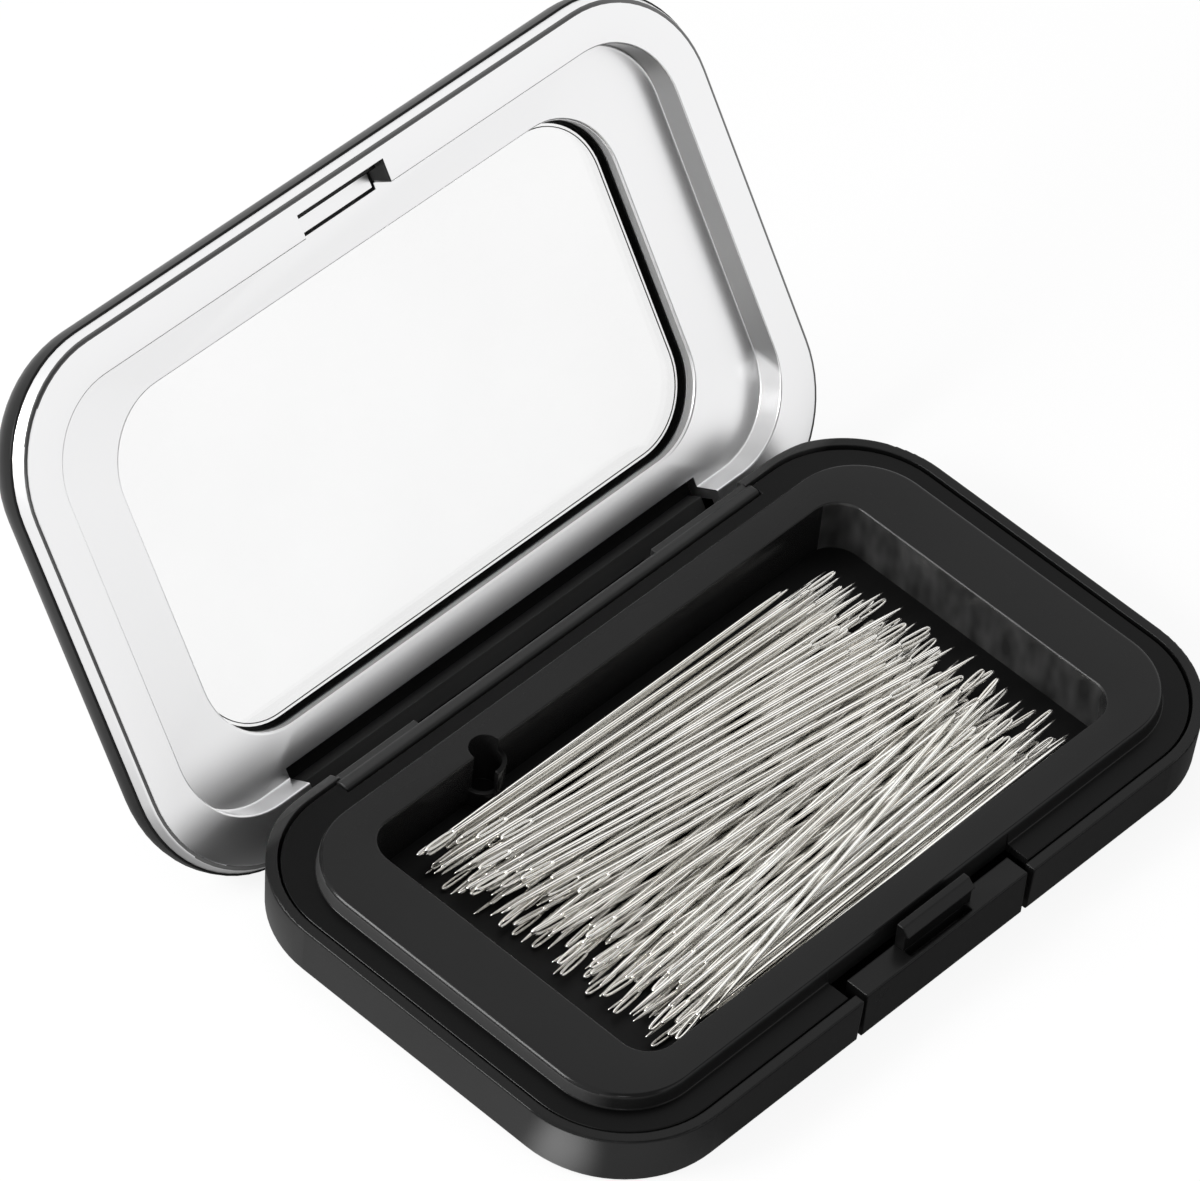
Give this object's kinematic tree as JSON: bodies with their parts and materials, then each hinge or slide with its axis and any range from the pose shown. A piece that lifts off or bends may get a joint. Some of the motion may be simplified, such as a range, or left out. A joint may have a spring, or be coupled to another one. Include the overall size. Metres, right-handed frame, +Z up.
{
  "type": "magnetic needle case",
  "caption": "Slim black needle case with a hinged silver-lined window lid, a push tab latch and a magnetic well of loose sewing needles.",
  "frame": {"origin": "centre of the flat pad that the case stands on", "axes": "+X along the hinge line, +Y from the latch at the front to the hinge at the back, +Z up out of the tray"},
  "size_m": [0.099, 0.0947, 0.052],
  "materials": {
    "shell_black": "fine satin black plastic",
    "tray_black": "smooth satin black plastic",
    "sheet_black": "smooth magnetic sheet",
    "lid_silver": "satin silver paint",
    "pane_clear": "clear acrylic with faint clouding",
    "needle_steel": "polished nickel-plated steel, slightly warm",
    "pin_steel": "drawn steel wire"
  },
  "bodies": {
    "base": {"base_shell": "shell_black", "tray_insert": "tray_black", "magnet_sheet": "sheet_black", "hinge_pin_left": "pin_steel", "hinge_pin_right": "pin_steel", "latch_pin": "pin_steel", "needle_layer_1": "needle_steel", "needle_layer_2": "needle_steel", "needle_layer_3": "needle_steel", "needle_layer_4": "needle_steel", "needle_layer_5": "needle_steel", "needle_layer_6": "needle_steel"},
    "lid": {"lid_frame": "lid_silver", "lid_cover": "shell_black", "window_pane": "pane_clear", "catch_plate": "lid_silver", "hinge_leaf": "shell_black"},
    "latch": {"latch_tab": "shell_black", "latch_hook": "shell_black"}
  },
  "joints": [
    {"name": "lid_hinge", "type": "hinge", "parent": "base", "child": "lid", "pos_m": [0, 0.0267, 0.00257], "axis": [1, 0, 0], "range_deg": [0, 124.15]},
    {"name": "latch_press", "type": "hinge", "parent": "base", "child": "latch", "pos_m": [0, -0.0272, 0.00145], "axis": [-1, 0, 0], "range_deg": [0, 6], "stiffness_Nm_per_rad": 0.02, "springref_deg": -2.86}
  ]
}
